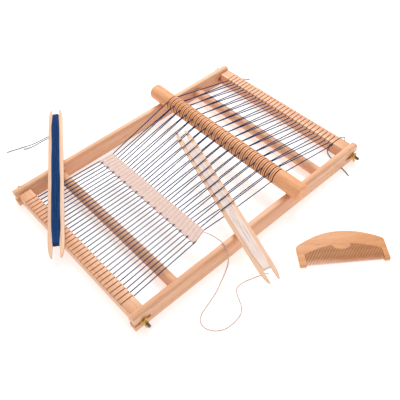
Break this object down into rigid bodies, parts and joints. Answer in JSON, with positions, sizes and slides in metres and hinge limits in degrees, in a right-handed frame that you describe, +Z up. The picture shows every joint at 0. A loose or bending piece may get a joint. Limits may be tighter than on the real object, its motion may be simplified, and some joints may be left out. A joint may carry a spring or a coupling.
{
  "type": "tabletop weaving loom",
  "caption": "Wooden tabletop frame loom with slotted warp beams, a turning heddle roller, navy warp, a short cream woven band, stick shuttles and a comb.",
  "frame": {"origin": "middle of the footprint of the loom with its shuttles and comb, loose yarn ends left out, on the table", "axes": "+X across the loom to the right, +Y from the weaver to the far beam, +Z up"},
  "size_m": [0.5744, 0.5007, 0.0549],
  "materials": {
    "beech": "sanded, unvarnished beech",
    "pale_beech": "sanded, unvarnished pale beech",
    "pearwood": "polished, oiled pearwood",
    "steel": "bright zinc-plated thread",
    "brass": "plain brass",
    "navy_yarn": "plied mercerised cotton yarn, navy",
    "cream_yarn": "plied cotton yarn, natural cream"
  },
  "bodies": {
    "root": {"left_rail": "beech", "right_rail": "beech", "front_cross_bar": "beech", "rear_cross_bar": "beech", "warp": "navy_yarn", "woven_band": "cream_yarn", "weft_tail": "cream_yarn", "rear_right_tail": "navy_yarn"},
    "front_beam": {"front_beam": "beech", "front_left_stud": "steel", "front_right_stud": "steel", "front_left_washer": "brass", "front_right_washer": "brass"},
    "rear_beam": {"rear_beam": "beech", "rear_left_stud": "steel", "rear_right_stud": "steel", "rear_left_washer": "brass", "rear_right_washer": "brass", "rear_left_tail": "navy_yarn"},
    "heddle": {"heddle_roller": "beech"},
    "cream_shuttle": {"cream_shuttle": "pale_beech", "cream_shuttle_yarn": "cream_yarn"},
    "navy_shuttle": {"navy_shuttle": "pale_beech", "navy_shuttle_yarn": "navy_yarn", "navy_tail": "navy_yarn", "navy_short_tail": "navy_yarn"},
    "comb": {"comb": "pearwood"},
    "front_left_wing_nut": {"front_left_wing_nut": "brass"},
    "front_right_wing_nut": {"front_right_wing_nut": "brass"},
    "rear_left_wing_nut": {"rear_left_wing_nut": "brass"},
    "rear_right_wing_nut": {"rear_right_wing_nut": "brass"}
  },
  "joints": [
    {"name": "heddle_turn", "type": "hinge", "parent": "root", "child": "heddle", "pos_m": [-0.02632, 0.08572, 0.0416], "axis": [1, 0, 0], "range_deg": [0, 180], "deforming": ["warp"]},
    {"name": "front_beam_slide", "type": "slide", "parent": "root", "child": "front_beam", "axis": [0, 1, 0], "range_m": [-0.008, 0.008], "deforming": ["warp"]},
    {"name": "rear_beam_slide", "type": "slide", "parent": "root", "child": "rear_beam", "axis": [0, 1, 0], "range_m": [-0.01, 0.006], "deforming": ["warp", "rear_right_tail"]},
    {"name": "cream_shuttle_slide", "type": "slide", "parent": "root", "child": "cream_shuttle", "axis": [0.9518, -0.305, -0.0319], "range_m": [0, 0.215], "deforming": ["warp", "weft_tail"]},
    {"name": "navy_shuttle_lift", "type": "slide", "parent": "root", "child": "navy_shuttle", "axis": [0, 0, 1], "range_m": [0, 0.06]},
    {"name": "comb_lift", "type": "slide", "parent": "root", "child": "comb", "axis": [0, 0, 1], "range_m": [0, 0.06]},
    {"name": "front_left_nut_turn", "type": "hinge", "parent": "front_beam", "child": "front_left_wing_nut", "pos_m": [-0.18382, -0.19928, 0.012], "axis": [-1, 0, 0], "continuous": true},
    {"name": "front_right_nut_turn", "type": "hinge", "parent": "front_beam", "child": "front_right_wing_nut", "pos_m": [0.13118, -0.19928, 0.012], "axis": [1, 0, 0], "continuous": true},
    {"name": "rear_left_nut_turn", "type": "hinge", "parent": "rear_beam", "child": "rear_left_wing_nut", "pos_m": [-0.18382, 0.22572, 0.012], "axis": [-1, 0, 0], "continuous": true},
    {"name": "rear_right_nut_turn", "type": "hinge", "parent": "rear_beam", "child": "rear_right_wing_nut", "pos_m": [0.13118, 0.22572, 0.012], "axis": [1, 0, 0], "continuous": true}
  ]
}
